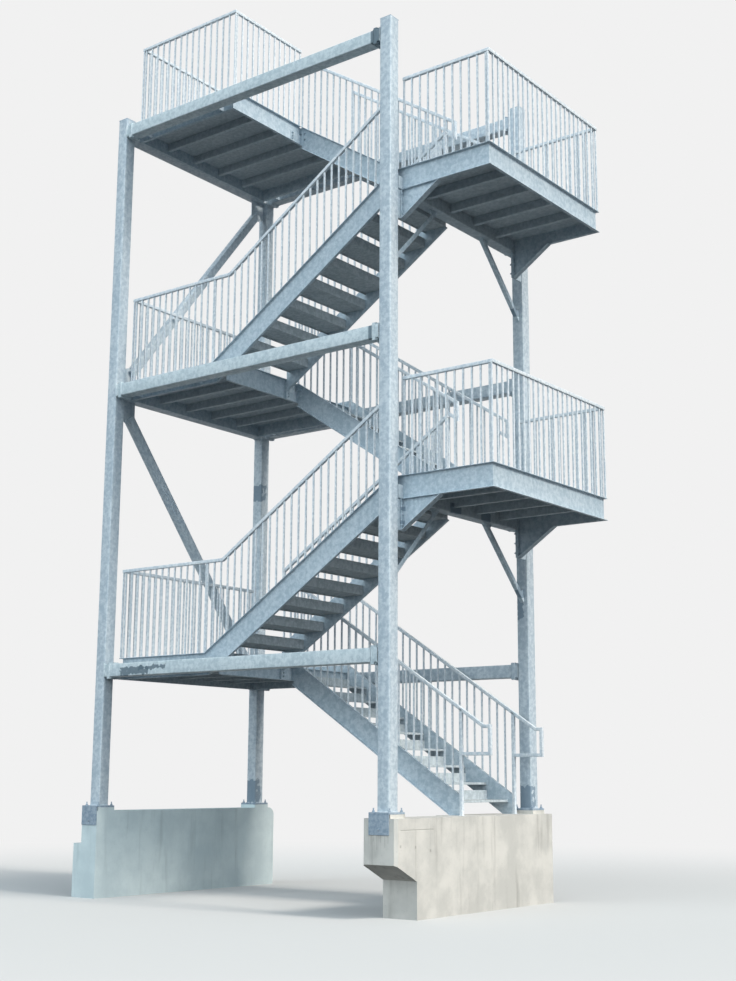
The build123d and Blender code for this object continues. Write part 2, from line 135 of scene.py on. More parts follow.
dust, given, out = effect(
    "settled dust",
    [("Colour", "Color", (0.5, 0.5, 0.5, 1)), ("Dust", "Color", (0.36, 0.34, 0.30, 1)),
     ("Amount", "Float", 0.5)],
    [("Colour", "Color"), ("Mask", "Float")])
place = put(dust, "TexCoord").outputs["Object"]
up = put(dust, "SeparateXYZ", [(0, put(dust, "NewGeometry").outputs["Normal"])]).outputs[2]
patchy = between(dust, noise(dust, place, 7.0), 0.3, 0.7)
settled = reckon(dust, "MULTIPLY", between(dust, up, 0.6, 0.98), patchy)
settled = reckon(dust, "MULTIPLY", settled, given["Amount"])
dust.links.new(blended(dust, settled, given["Colour"], given["Dust"]), out["Colour"])
dust.links.new(settled, out["Mask"])

patch, given, out = effect(
    "ragged patch",
    [("Centre", "Vector", (0, 0, 0)), ("Half Size", "Vector", (0.1, 0.1, 0.1)), ("Ragged", "Float", 0.02)],
    [("Mask", "Float")])
place = put(patch, "TexCoord").outputs["Object"]
away = put(patch, "VectorMath", [(0, place), (1, given["Centre"])], operation="SUBTRACT").outputs[0]
away = put(patch, "VectorMath", [(0, away)], operation="ABSOLUTE").outputs[0]
away = put(patch, "VectorMath", [(0, away), (1, given["Half Size"])], operation="SUBTRACT").outputs[0]
sides = put(patch, "SeparateXYZ", [(0, away)]).outputs
outside = reckon(patch, "MAXIMUM", reckon(patch, "MAXIMUM", sides[0], sides[1]), sides[2])
wander = reckon(patch, "SUBTRACT", noise(patch, place, 16.0, 3.0), 0.5)
edge = reckon(patch, "ADD", outside, reckon(patch, "MULTIPLY", wander, given["Ragged"]))
patch.links.new(between(patch, edge, 0.003, -0.006), out["Mask"])

chequer, given, out = effect(
    "raised bars", [("Size", "Float", 0.03), ("Height", "Float", 1.0)], [("Height", "Float")])
place = put(chequer, "TexCoord").outputs["Object"]
cells = put(chequer, "VectorRotate", [("Vector", place), ("Angle", math.pi / 4)]).outputs[0]
cells_to_metre = reckon(chequer, "DIVIDE", 1.0, given["Size"])
cells = put(chequer, "VectorMath", [(0, cells), ("Scale", cells_to_metre)], operation="SCALE").outputs[0]
cell = put(chequer, "SeparateXYZ", [(0, cells)]).outputs
columns, rows = (reckon(chequer, "FLOOR", part) for part in cell[:2])
turned = reckon(chequer, "FLOORED_MODULO", reckon(chequer, "ADD", columns, rows), 2.0)
within = [reckon(chequer, "FRACT", part) for part in cell[:2]]
spans = [reckon(chequer, "ABSOLUTE", reckon(chequer, "SUBTRACT", part, 0.5)) for part in within]
slender = 3.2
lengthwise = reckon(chequer, "MAXIMUM", reckon(chequer, "MULTIPLY", spans[0], slender), spans[1])
crosswise = reckon(chequer, "MAXIMUM", reckon(chequer, "MULTIPLY", spans[1], slender), spans[0])
bar = put(chequer, "Mix", [(0, turned), (2, lengthwise), (3, crosswise)]).outputs[0]
facing = put(chequer, "SeparateXYZ", [(0, put(chequer, "NewGeometry").outputs["Normal"])]).outputs[2]
bar = reckon(chequer, "MULTIPLY", between(chequer, bar, 0.44, 0.36), between(chequer, facing, 0.5, 0.9))
chequer.links.new(reckon(chequer, "MULTIPLY", bar, given["Height"]), out["Height"])

# All pieces are measured from one point: the right and front column lines and the base plates' tops.
post_low, post_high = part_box("column_back_right")
plate_thickness = 0.020
half_base = 0.125
origin = np.array([(post_low.x + post_high.x) / 2,
                   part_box("column_front_right")[1].y - half_base, post_low.z + plate_thickness])


def in_model(x, y, z):
    """Place in the model of a point measured from that origin."""
    return tuple(float(v) for v in np.array([x, y, z]) + origin)


def patch_mask(tree, centre, half, ragged):
    """Mask of a patch or groove: 1 inside its half size from its centre, with a ragged edge."""
    sizes = [("Centre", in_model(*centre)), ("Half Size", half), ("Ragged", ragged)]
    return place_group(tree, patch, sizes)["Mask"]


def galvanised(name, bright, dull, clouds=20.0, metallic=0.1, dusty=0.35, pattern=0.0, patches=(),
               patch_and_shadow_colour=(0.20, 0.27, 0.34, 1)):
    """Zinc-coated steel; each patch (centre, half size, ragged) is darkened towards the patch colour: most
    are dark zinc paint brushed over, and some are painted shadow.

    Pattern is the height of the raised bars on a chequered plate, and 0 on plain steel.
    """
    material, tree, shader = new_material("galvanised " + name)
    coat = place_group(tree, zinc, [("Bright", bright), ("Dull", dull), ("Cloud Scale", clouds)])
    colour = coat["Colour"]
    roughness = coat["Roughness"]
    # Each patch blends the colour towards the patch colour: dark zinc touch-up paint on most, painted shadow
    # on some.
    for sizes in patches:
        mask = reckon(tree, "MULTIPLY", patch_mask(tree, *sizes), 0.86)
        colour = blended(tree, mask, colour, patch_and_shadow_colour)
        roughness = between(tree, mask, 0.0, 1.0, roughness, 0.72)
    layer = place_group(tree, dust, [("Colour", colour), ("Amount", dusty)])
    tree.links.new(layer["Colour"], shader["Base Color"])
    tree.links.new(roughness, shader["Roughness"])
    shader["Metallic"].default_value = metallic
    shader["Specular IOR Level"].default_value = 0.15
    height = coat["Height"]
    if pattern:
        raised = place_group(tree, chequer, [("Size", 0.03), ("Height", pattern)])["Height"]
        height = reckon(tree, "ADD", height, raised)
    bump = put(tree, "Bump", [("Strength", 0.25), ("Distance", 0.0012), ("Height", height)])
    tree.links.new(bump.outputs[0], shader["Normal"])
    return material


# Concrete walls. Each pair of columns stands on a cast wall that runs down to the ground. The left
# one is painted pale blue-green; the right one is bare, with panel joints, tie holes, and thin dark
# runs below the plate at its front end.


def concrete(name, light, dark, stain, marks=()):
    """Cast concrete: blotches, air holes and grit; a mark (centre, half size, ragged) is a dark groove."""
    material, tree, shader = new_material(name)
    place = put(tree, "TexCoord").outputs["Object"]
    blotches = noise(tree, place, 2.6, 5.0, 0.6)
    weather = noise(tree, stretched(tree, place, (9.0, 9.0, 0.9)), 1.0, 4.0)
    grit = noise(tree, place, 160.0, 2.0)
    holes = put(tree, "TexVoronoi", [("Vector", place), ("Scale", 26.0)]).outputs["Distance"]
    holes = between(tree, holes, 0.13, 0.07)
    colour = blended(tree, between(tree, blotches, 0.35, 0.68), dark, light)
    colour = blended(tree, between(tree, weather, 0.52, 0.78, 0.0, 0.5), colour, stain)
    colour = blended(tree, reckon(tree, "MULTIPLY", holes, 0.35), colour, stain)
    height = reckon(tree, "SUBTRACT", reckon(tree, "MULTIPLY", grit, 0.3), holes)
    for sizes in marks:
        mask = patch_mask(tree, *sizes)
        colour = blended(tree, reckon(tree, "MULTIPLY", mask, 0.45), colour, stain)
        height = reckon(tree, "SUBTRACT", height, reckon(tree, "MULTIPLY", mask, 3.0))
    tree.links.new(colour, shader["Base Color"])
    tree.links.new(between(tree, blotches, 0.3, 0.7, 0.72, 0.9), shader["Roughness"])
    bump = put(tree, "Bump", [("Strength", 0.5), ("Distance", 0.002), ("Height", height)])
    tree.links.new(bump.outputs[0], shader["Normal"])
    return material


def dress(material, *names):
    """Give CAD nodes a material in all their slots."""
    for name in names:
        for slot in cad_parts[name].material_slots:
            slot.material = material


painted = concrete("painted concrete", (0.66, 0.76, 0.78, 1), (0.55, 0.65, 0.68, 1), (0.34, 0.42, 0.44, 1))
dress(painted, "left_wall")
side_face, apron_face, apron_foot = 0.21, -0.15, -0.22
tie_hole = (0.02, 0.014, 0.014)
grooves = (((0.215, -0.173), (0.02, 0.285, 0.005)), ((0.190, -0.50), (0.02, 0.005, 0.33)),
           ((-0.068, -0.327), tie_hole), ((0.186, -0.340), tie_hole), ((0.445, -0.384), tie_hole))
runs = ((-0.10, 0.05), (-0.07, 0.03), (-0.03, 0.07), (0.02, 0.035), (0.07, 0.06), (0.11, 0.04))
bare = concrete("bare concrete", (0.66, 0.64, 0.60, 1), (0.52, 0.51, 0.48, 1), (0.24, 0.23, 0.21, 1),
                [((side_face, *spot), half, 0.004) for spot, half in grooves]
                + [((x, apron_face, apron_foot - drop), (0.004, 0.02, drop), 0.01) for x, drop in runs])
dress(bare, "right_wall")

# Columns. Four square tubes, 152 mm wide and with rounded corners, stand on welded base plates that
# anchor bolts hold. Each is capped, and a front one has an apron plate bolted to the wall's end.

right, inward, upward = np.eye(3)


def rounded(corners, radii, steps=3):
    """Closed outline with each corner turned into an arc of its radius.

    The unit directions from a corner to its two neighbours make an angle; the arc's centre lies on
    their bisector, at radius over the sine of the half angle.
    """
    points = np.array(corners, float)
    radii = np.broadcast_to(np.asarray(radii, float), len(points))
    back = np.roll(points, 1, 0) - points
    ahead = np.roll(points, -1, 0) - points
    back = back / np.linalg.norm(back, axis=1, keepdims=True)
    ahead = ahead / np.linalg.norm(ahead, axis=1, keepdims=True)
    bisector = back + ahead
    bisector = bisector / np.linalg.norm(bisector, axis=1, keepdims=True)
    cosine = (back * bisector).sum(1)
    sine = np.sqrt(1 - cosine ** 2)
    centres = points + bisector * (radii / sine)[:, None]
    reach = (radii * cosine / sine)[:, None]
    first = points + back * reach - centres
    last = points + ahead * reach - centres
    start = np.arctan2(first[:, 1], first[:, 0])
    turn = (np.arctan2(last[:, 1], last[:, 0]) - start + np.pi) % (2 * np.pi) - np.pi
    angles = start[:, None] + turn[:, None] * np.linspace(0, 1, steps + 1)
    arcs = centres[:, None] + radii[:, None, None] * np.stack([np.cos(angles), np.sin(angles)], -1)
    return arcs.reshape(-1, 2)


def rectangle(width, depth, radius, steps=3):
    """Outline of a rectangle about its middle, its corners rounded."""
    half, deep = width / 2, depth / 2
    return rounded([(-half, -deep), (half, -deep), (half, deep), (-half, deep)], radius, steps)


def at_height(outline, height):
    """Points of a flat outline at one height."""
    return np.column_stack([outline, np.full(len(outline), height)])


def lofted(rings):
    """Surface through rings of points, with a flat face over each end."""
    rings = np.asarray(rings, float)
    count, size = rings.shape[:2]
    ring = np.arange(count - 1)[:, None] * size
    point = np.arange(size)[None]
    after = (point + 1) % size
    quads = np.stack([ring + point, ring + after, ring + size + after, ring + size + point], -1)
    return rings.reshape(-1, 3), quads.reshape(-1, 4), [np.arange(size), np.arange(size) + (count - 1) * size]


def swept(section, path, side=None, up=None, ends=(None, None)):
    """Surface of a section carried along a path of straight lines, mitred where they meet.

    A section point is a along side and b along up. One of both directions is given and stays; the
    other is its cross product with the line's own direction. Each point slides along its line until
    it lies in the mitre's plane, or at an end in the plane square to the line or to the given normal.
    """
    path = np.array(path, float)
    lines = np.diff(path, axis=0)
    lines = lines / np.linalg.norm(lines, axis=1, keepdims=True)
    arrive = np.concatenate([lines[:1], lines])
    normals = arrive + np.concatenate([lines, lines[-1:]])
    if ends[0] is not None:
        normals[0] = ends[0]
    if ends[1] is not None:
        normals[-1] = ends[1]
    if side is not None:
        sides = np.broadcast_to(np.asarray(side, float), arrive.shape)
        ups = np.cross(arrive, sides)
    else:
        ups = np.broadcast_to(np.asarray(up, float), arrive.shape)
        sides = np.cross(ups, arrive)
    offsets = section[None, :, :1] * sides[:, None] + section[None, :, 1:] * ups[:, None]
    slide = -(offsets * normals[:, None]).sum(-1) / (arrive * normals).sum(-1)[:, None]
    return lofted(path[:, None] + offsets + slide[..., None] * arrive[:, None])


def repeated(points, quads, caps):
    """Many like shapes at once, from each one's points and the faces that they share."""
    count, size = points.shape[:2]
    starts = np.arange(count) * size
    return (points.reshape(-1, 3), (quads[None] + starts[:, None, None]).reshape(-1, 4),
            [cap + start for cap in caps for start in starts])


# A bevelled box has 24 points: number 3 * corner + axis lies on the face square to that axis. Its
# faces are six sides, a strip along each of the twelve edges, and a triangle at each corner.
corner_signs = np.array([(x, y, z) for z in (-1, 1) for y in (-1, 1) for x in (-1, 1)], float)
block_quads = np.array(
    [[corner * 3 + axis for corner in corners] for axis, corners in
     ((0, (0, 2, 6, 4)), (0, (1, 3, 7, 5)), (1, (0, 1, 5, 4)), (1, (2, 3, 7, 6)), (2, (0, 1, 3, 2)),
      (2, (4, 5, 7, 6)))]
    + [[low * 3 + other, high * 3 + other, high * 3 + another, low * 3 + another]
       for axis, other, another in ((0, 1, 2), (1, 0, 2), (2, 0, 1))
       for low in range(8) for high in [low + 2 ** axis] if not low & 2 ** axis])
block_caps = [np.arange(3) + 3 * corner for corner in range(8)]


def block(low, high, bevel=0.002):
    """Box from its lowest to its highest corner, all its edges bevelled.

    Each corner becomes three points, one to a face, each moved in by the bevel along its own face.
    """
    low, high = np.array(low, float), np.array(high, float)
    inset = bevel * (1 - np.eye(3))
    points = (low + high) / 2 + corner_signs[:, None] * ((high - low) / 2 - inset)
    return points.reshape(-1, 3), block_quads, block_caps


def polygon(sides):
    """Corners of an even polygon on a circle of radius 1."""
    turns = np.arange(sides) * 2 * np.pi / sides
    return np.stack([np.cos(turns), np.sin(turns)], -1)


def fasteners(places, axis, across, stud=0.0):
    """Washers with hexagon heads or nuts on them, and a stud's end where it stands out.

    Every place is on the clamped surface, and axis points away from it. Across is the head's width
    over its flats, and each radius and height but the stud's is a share of it.
    """
    axis = np.asarray(axis, float)
    first = np.cross(axis, [0.37, 0.51, 0.78])
    first /= np.linalg.norm(first)
    axes = np.stack([first, np.cross(axis, first), axis])
    washer = 0.15 * across
    top = washer + 0.62 * across
    forms = [(polygon(12), [(0.85 * across, 0), (0.85 * across, washer)]),
             (polygon(6), [(0.577 * across, washer), (0.577 * across, top - 0.09 * across),
                           (0.48 * across, top)])]
    if stud:
        forms.append((polygon(6), [(0.3 * across, top - 0.01 * across), (0.3 * across, top + stud),
                                   (0.22 * across, top + stud + 0.08 * across)]))
    shapes = []
    for outline, rings in forms:
        points, quads, caps = lofted([at_height(outline * radius, height) @ axes for radius, height in rings])
        shapes.append(repeated(np.array(places, float)[:, None] + points, quads, caps))
    return shapes


def add_object(name, content):
    """New object in the scene, of a mesh, a lamp or a camera."""
    thing = bpy.data.objects.new(name, content)
    bpy.context.scene.collection.objects.link(thing)
    return thing


def add_piece(name, material, shapes, replaced=None, floor=None):
    """Mesh of shapes measured in the drawing's frame, in place of the CAD node that it replaces.

    What lies under the floor's height is cut away.
    """
    sizes = np.array([len(points) for points, _, _ in shapes])
    starts = np.cumsum(sizes) - sizes
    points = np.concatenate([points for points, _, _ in shapes]) + origin
    quads = np.concatenate([quads + start for (_, quads, _), start in zip(shapes, starts)])
    caps = [(cap + start).tolist() for (_, _, caps), start in zip(shapes, starts) for cap in caps]
    mesh = bpy.data.meshes.new(name)
    mesh.from_pydata(points.tolist(), [], quads.tolist() + caps)
    shell = bmesh.new()
    shell.from_mesh(mesh)
    if floor is not None:
        cut = bmesh.ops.bisect_plane(shell, geom=shell.verts[:] + shell.edges[:] + shell.faces[:],
                                     plane_co=in_model(0, 0, floor), plane_no=(0, 0, -1), clear_outer=True)
        rim = [part for part in cut["geom_cut"] if isinstance(part, bmesh.types.BMEdge)]
        bmesh.ops.edgeloop_fill(shell, edges=rim)
    bmesh.ops.recalc_face_normals(shell, faces=shell.faces[:])
    shell.to_mesh(mesh)
    shell.free()
    mesh.shade_smooth()
    mesh.set_sharp_from_angle(angle=math.radians(32))
    mesh.materials.append(material)
    piece = add_object(name, mesh)
    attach(piece, "root")
    if replaced:
        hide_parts(replaced)


riser, going, risers = 0.19133, 0.292, 9
flight_rise = risers * riser
levels = [flight_rise * number for number in (1, 3, 5)]
half_levels = [flight_rise * number for number in (2, 4)]
half_post, column_top = 0.076, 8.62985
bay, depth = 4.210, 2.725
# The last patch, a strip on the left of the back right column's front face under the first half landing, is
# painted shadow; the other three are dark zinc touch-up paint.
structural = galvanised(
    "structural steel", (0.57, 0.64, 0.69, 1), (0.40, 0.48, 0.55, 1),
    patches=[((-4.21, 2.65, 0.15), (0.09, 0.09, 0.15), 0.14),
             ((-4.21, 2.65, 4.16), (0.09, 0.09, 0.11), 0.10),
             ((0.0, 2.65, 0.10), (0.09, 0.09, 0.14), 0.16),
             ((-0.03, 2.65, 2.33), (0.04, 0.09, 0.17), 0.12)])
footing = galvanised("base plates", (0.35, 0.42, 0.49, 1), (0.23, 0.30, 0.38, 1), clouds=26.0)
post_section = rectangle(2 * half_post, 2 * half_post, 0.016, 5)
bead_foot = rectangle(0.168, 0.168, 0.022, 5)
bead_top = rectangle(0.153, 0.153, 0.016, 5)
cap_thickness, apron_thickness, apron_bolt, anchor_shifts = 0.010, 0.010, -0.168, (-0.100, 0.100)
for row, y in (("front", 0.0), ("back", depth)):
    for hand, x in (("left", -bay), ("right", 0.0)):
        shapes = [
            swept(post_section, [(x, y, 0), (x, y, column_top)], side=right),
            block((x - half_post, y - half_post, column_top),
                  (x + half_post, y + half_post, column_top + cap_thickness), 0.0015),
            lofted([at_height(bead_foot + (x, y), 0.0), at_height(bead_foot * 0.985 + (x, y), 0.003),
                    at_height(bead_top + (x, y), 0.010)])]
        add_piece(f"post_{row}_{hand}", structural, shapes, f"column_{row}_{hand}")
        plate_front = apron_face if row == "front" else y - half_base
        shapes = [block((x - half_base, plate_front, -plate_thickness), (x + half_base, y + half_base, 0))]
        anchors = [(x + a, y + b, 0) for a in anchor_shifts for b in anchor_shifts]
        shapes += fasteners(anchors, upward, 0.024, 0.022)
        if row == "front":
            shapes.append(block((x - half_base, apron_face, apron_foot),
                                (x + half_base, apron_face + apron_thickness, -plate_thickness)))
            shapes += fasteners([(x, apron_face, apron_bolt)], -inward, 0.018)
        add_piece(f"base_plate_{row}_{hand}", footing, shapes)

# Beams. Square tubes join the columns at each landing. The front and back ones are bolted to stubs
# on the columns, two thick plates to a joint; side beams and cross beams are welded.

beam_drop, half_beam = 0.082, 0.076
beam_section = rectangle(2 * half_beam, 2 * half_beam, 0.012, 4)
plate_faces, half_plate, half_seam = (0.045, 0.067, 0.089), 0.098, 0.0006
bolt_reach, bolt_rise = 0.050, 0.0865
# Front beams: the two patches at the left end of the lowest beam are dark zinc touch-up paint, the strip left
# of the middle beam's right-hand plates is painted shadow, and the top beam's right end is darkened round its
# stub and plates.
touched_up_and_shadowed = galvanised(
    "front beams", (0.61, 0.69, 0.73, 1), (0.45, 0.54, 0.59, 1),
    patches=[((-3.63, -0.076, levels[0] - 0.175), (0.23, 0.03, 0.050), 0.16),
             ((-3.34, -0.076, levels[0] - 0.150), (0.22, 0.03, 0.022), 0.10),
             ((-0.190, -0.076, levels[1] - 0.158), (0.025, 0.03, 0.085), 0.01),
             ((-0.140, -0.050, levels[2] - 0.158), (0.062, 0.10, 0.100), 0.02)],
    patch_and_shadow_colour=(0.12, 0.17, 0.21, 1))


def collar(section, spot, axis, size=0.009):
    """Weld bead round a tube of a section where it meets a surface; axis points along the tube.

    The bead is a size wider than the tube at the surface, and slopes in to it over the same size.
    """
    axis = np.asarray(axis, float)
    side = upward if abs(axis[2]) < 0.5 else right
    up = np.cross(axis, side)
    flat = section[:, :1] * side + section[:, 1:] * up
    grown = flat * (1 + size / np.abs(section).max())
    spot = np.asarray(spot, float)
    return lofted([spot + grown, spot + grown * 0.99 + axis * size * 0.35, spot + flat * 1.003 + axis * size])


for number, level in enumerate(levels, 1):
    middle = level - beam_drop - half_beam
    for row, y in (("front", 0.0), ("back", depth)):
        shapes = []
        joints = []
        for post, way in ((-bay + half_post, 1), (-half_post, -1)):
            near, split, far = (post + way * reach for reach in plate_faces)
            joints.append(far)
            shapes.append(swept(beam_section, [(post, y, middle), (near, y, middle)], side=inward))
            shapes.append(collar(beam_section, (post, y, middle), way * right))
            shapes.append(collar(beam_section, (far, y, middle), way * right, 0.007))
            for low, high in (sorted((near, split)), sorted((split, far))):
                shapes.append(block((low + half_seam, y - half_beam, middle - half_plate),
                                    (high - half_seam, y + half_beam, middle + half_plate), 0.0018))
            holes = [(y + a, middle + b) for a in (-bolt_reach, bolt_reach) for b in (-bolt_rise, bolt_rise)]
            shapes += fasteners([(near, a, b) for a, b in holes], -way * right, 0.018, 0.008)
            shapes += fasteners([(far, a, b) for a, b in holes], way * right, 0.018)
        shapes.append(swept(beam_section, [(joints[0], y, middle), (joints[1], y, middle)], side=inward))
        add_piece(f"{row}_girder_{number}", touched_up_and_shadowed if row == "front" else structural,
                  shapes, f"{row}_beam_{number}")
    ends = [(-bay, half_post, middle), (-bay, depth - half_post, middle)]
    add_piece(f"side_girder_{number}", structural,
              [swept(beam_section, ends, side=right), collar(beam_section, ends[0], inward),
               collar(beam_section, ends[1], -inward)], f"side_beam_{number}")

front_face, back_face = 0.125, 2.519
flange, web, channel_depth, channel_edge, deck_set, deck_thickness = 0.038, 0.005, 0.254, 0.007, 0.095, 0.006
floor_drop = deck_set + deck_thickness
inside_front, inside_back = front_face + flange - web, back_face - flange + web
shaded = galvanised(
    "steel under the floors", (0.54, 0.61, 0.66, 1), (0.42, 0.49, 0.54, 1), metallic=0.0,
    patches=[((0.076, 1.15, half_levels[0] - 0.20), (0.03, 0.11, 0.055), 0.03),
             ((0.076, 1.76, half_levels[0] - 0.20), (0.03, 0.10, 0.055), 0.03)])
for number, level in enumerate(half_levels, 1):
    middle = level - floor_drop - half_beam
    shapes = [swept(beam_section, [(0, front_face + flange, middle), (0, back_face - flange, middle)],
                    side=right)]
    low = level - channel_depth + channel_edge
    high = level - floor_drop
    stub_section, core = rectangle(2 * half_post, high - low, 0.006), (low + high) / 2
    for y, stop in ((half_post, inside_front), (depth - half_post, inside_back)):
        shapes.append(swept(stub_section, [(0, y, core), (0, stop, core)], side=right))
    add_piece(f"cross_girder_{number}", shaded, shapes, f"cross_beam_{number}")

# Bracing. Crossed tubes between the left columns are slotted onto gusset plates, and angles brace
# the right columns against the cross beams.


def plated(corners, place, along, thickness, radius=0.003):
    """Upright plate from the distances along a direction and the heights of its corners, rounded.

    It is as thick as given along the cross product of that direction and the upward one.
    """
    flat = rounded(corners, radius, 2)
    face = np.array(place, float) + flat[:, :1] * along + flat[:, 1:] * upward
    return lofted([face, face + np.cross(along, upward) * thickness])


brace_middle = levels[1] - beam_drop - half_beam
brace_rise = 2 * flight_rise
brace_length = math.hypot(depth, brace_rise)
along_y, along_z = depth / brace_length, brace_rise / brace_length
gusset, gusset_thickness, corner_gap, brace_slot, half_brace = 0.240, 0.012, 0.110, 0.090, 0.051
brace_start = (half_post + half_beam + corner_gap + gusset) / (along_y + along_z)
brace_section = rectangle(2 * half_brace, 2 * half_brace, 0.008)
weld_section = rectangle(0.007, 0.007, 0.003, 1)
weld_length, weld_out, weld_reach = 0.088, 0.0075, half_brace * 0.985
shapes = []
for way in (1, -1):
    run = np.array([0, along_y, way * along_z])
    reaches = np.array([[brace_start], [brace_length - brace_start]])
    tube_ends = (-bay, 0, brace_middle) + run * reaches
    shapes.append(swept(brace_section, tube_ends, side=right))
    for y_node, z_node, hand in ((0, brace_middle, 1), (depth, brace_middle + way * brace_rise, -1)):
        y_side = y_node + hand * half_post
        z_side = z_node + hand * way * half_beam
        reach = brace_start + brace_slot
        y_tip = y_node + hand * along_y * reach
        z_tip = z_node + hand * way * along_z * reach
        y_off, z_off = hand * along_z * half_brace, hand * way * along_y * half_brace
        shapes.append(plated(
            [(y_side, z_side), (y_side + hand * gusset, z_side), (y_tip + y_off, z_tip - z_off),
             (y_tip - y_off, z_tip + z_off), (y_side, z_side + hand * way * gusset)],
            (-bay - gusset_thickness / 2, 0, 0), inward, gusset_thickness))
        for face in (-1, 1):
            for lift in (-1, 1):
                tip = np.array([-bay + face * weld_out, y_tip - lift * way * along_z * weld_reach,
                                z_tip + lift * along_y * weld_reach])
                shapes.append(swept(weld_section, [tip - hand * run * weld_length, tip], side=right))
add_piece("diagonals", structural, shapes, "side_braces")

knee_reach, knee_leg, knee_skin, knee_plate, knee_gusset = 0.835, 0.050, 0.007, 0.090, 0.012
half_leg = knee_leg / 2
angle_section = rounded([(-half_leg, 0), (half_leg, 0), (half_leg, knee_leg),
                         (half_leg - knee_skin, knee_leg), (half_leg - knee_skin, knee_skin),
                         (-half_leg, knee_skin)],
                        [0.001, 0.002, 0.0025, 0.002, 0.006, 0.0025])
knee_steel = galvanised(
    "knee braces", (0.62, 0.70, 0.76, 1), (0.44, 0.54, 0.61, 1),
    patches=[((0, 2.60, half_levels[0] - 0.93), (0.06, 0.09, 0.10), 0.05),
             ((0, 2.60, half_levels[1] - 0.93), (0.06, 0.09, 0.10), 0.05)])
skin, band = knee_skin * 2 ** 0.5, knee_leg * 2 ** 0.5
place = (half_leg - knee_skin - knee_gusset, 0, 0)
shapes = []
for level in half_levels:
    top = level - floor_drop - 2 * half_beam
    low = top - knee_reach
    for y, way in ((half_post, 1), (depth - half_post, -1)):
        far = y + way * knee_reach
        run = [(0, far, top), (0, y, low)]
        cuts = [-upward, -inward]
        if way < 0:
            run.reverse()
            cuts = [-inward, upward]
        shapes.append(swept(angle_section, run, side=right, ends=cuts))
        shapes.append(plated([(y, low + skin), (y, low + knee_plate + band),
                              (y + way * knee_plate, low + knee_plate + skin)], place, inward, knee_gusset))
        shapes.append(plated([(far - way * skin, top), (far - way * (knee_plate + band), top),
                              (far - way * (knee_plate + skin), top - knee_plate)],
                             place, inward, knee_gusset))
add_piece("knees", knee_steel, shapes, "knee_braces")

# Landings. Channels with rounded toes and root fillets frame each floor, their toes outwards; the
# front one turns up at a mitre into a stringer. Lighter channels carry the floor plate inside, and
# clips and a bolted splice plate join the frame to the flights' inner channels.


def rolled(height, width, thickness, edge, root=0.009, toe=0.004):
    """Outline of a channel, from its toes to its back and from its top edge down."""
    return rounded([(0, 0), (width, 0), (width, -height), (0, -height), (0, edge - height),
                    (width - thickness, edge - height), (width - thickness, -edge), (0, -edge)],
                   [0.0015, 0.003, 0.003, 0.0015, toe, root, root, toe])


edge_channel = rolled(channel_depth, flange, web, channel_edge)
header_channel = rolled(channel_depth - deck_set, flange, web, channel_edge)
joist_flange = 0.048
joist_channel = rolled(0.096, joist_flange, 0.005, 0.005, 0.007, 0.003)
landing_left, landing_right, half_right, kink = -4.104, -2.464, 1.221, -2.704
inner_front, inner_back = 1.245, 1.399
stringer_run = np.array([going, 0, riser]) / math.hypot(going, riser)
bend = right + stringer_run


def joists(start, end, level):
    """Four channels under a floor along X, their backs to the front."""
    places = front_face + joist_flange + (back_face - front_face) / 5 * np.arange(1, 5)
    top = level - floor_drop
    return [swept(joist_channel, [(end, y, top), (start, y, top)], side=-inward) for y in places]


edging = galvanised("channels", (0.50, 0.58, 0.64, 1), (0.36, 0.45, 0.52, 1))
hanger_inset, hanger_thickness, clip_thickness, clip_drop = 0.200, 0.012, 0.010, 0.008
header_face = landing_right - flange + web
splice_face, splice_margin = header_face + 0.008, 0.012
splice_front, splice_back = inner_front - 0.004, inner_back + 0.090
splice_bolts, splice_drops = (inner_front + 0.024, inner_back + 0.058), (0.127, 0.166, 0.205)
upper_bolt, stringer_bolt, stringer_drops = 0.045, 0.038, (0.100, 0.182)
for number, level in enumerate(levels, 1):
    kinked = number < 3
    stop = kink if kinked else landing_right
    path = [(landing_right, back_face, level), (landing_left, back_face, level),
            (landing_left, front_face, level), (stop, front_face, level)]
    clips = [inner_back + flange - web]
    heads = [(splice_face, y, level - drop) for y in splice_bolts for drop in splice_drops]
    if kinked:
        clips.append(inner_front - flange)
        heads.append((header_face, splice_bolts[0], level - upper_bolt))
    else:
        path.append((landing_right, inner_back, level))
    shapes = [swept(edge_channel, path, up=upward, ends=(None, bend if kinked else None)),
              swept(header_channel, [(landing_right, inner_back, level - deck_set),
                                     (landing_right, inside_back, level - deck_set)], up=upward)]
    if kinked:
        shapes.append(swept(edge_channel, [(landing_right, front_face + flange, level),
                                           (landing_right, inner_back, level)], up=upward))
    low = level - beam_drop - 2 * half_beam
    for x in (landing_left + hanger_inset, stop - hanger_inset):
        for y, end in ((half_post, inside_front), (inside_back, depth - half_post)):
            shapes.append(block((x, y, low), (x + hanger_thickness, end, level - beam_drop), 0.0015))
    for y in clips:
        shapes.append(block((header_face, y, level - channel_depth + channel_edge),
                            (landing_right, y + clip_thickness, level - clip_drop), 0.001))
    shapes.append(block((header_face, splice_front, level - channel_depth + splice_margin),
                        (splice_face, splice_back, level - deck_set - splice_margin), 0.001))
    shapes += fasteners(heads, right, 0.022, 0.006)
    shapes += fasteners([(landing_right + stringer_bolt, inner_back + flange - web, level - drop)
                         for drop in stringer_drops], -inward, 0.022)
    shapes.append(block((landing_right - flange, inner_back, level - deck_set),
                        (header_face, inner_back + flange, level - 0.001), 0.0005))
    add_piece(f"landing_edges_{number}", edging, shapes, f"landing_frame_{number}")
    add_piece(f"landing_joists_{number}", shaded,
              joists(landing_left + flange, landing_right - flange, level))

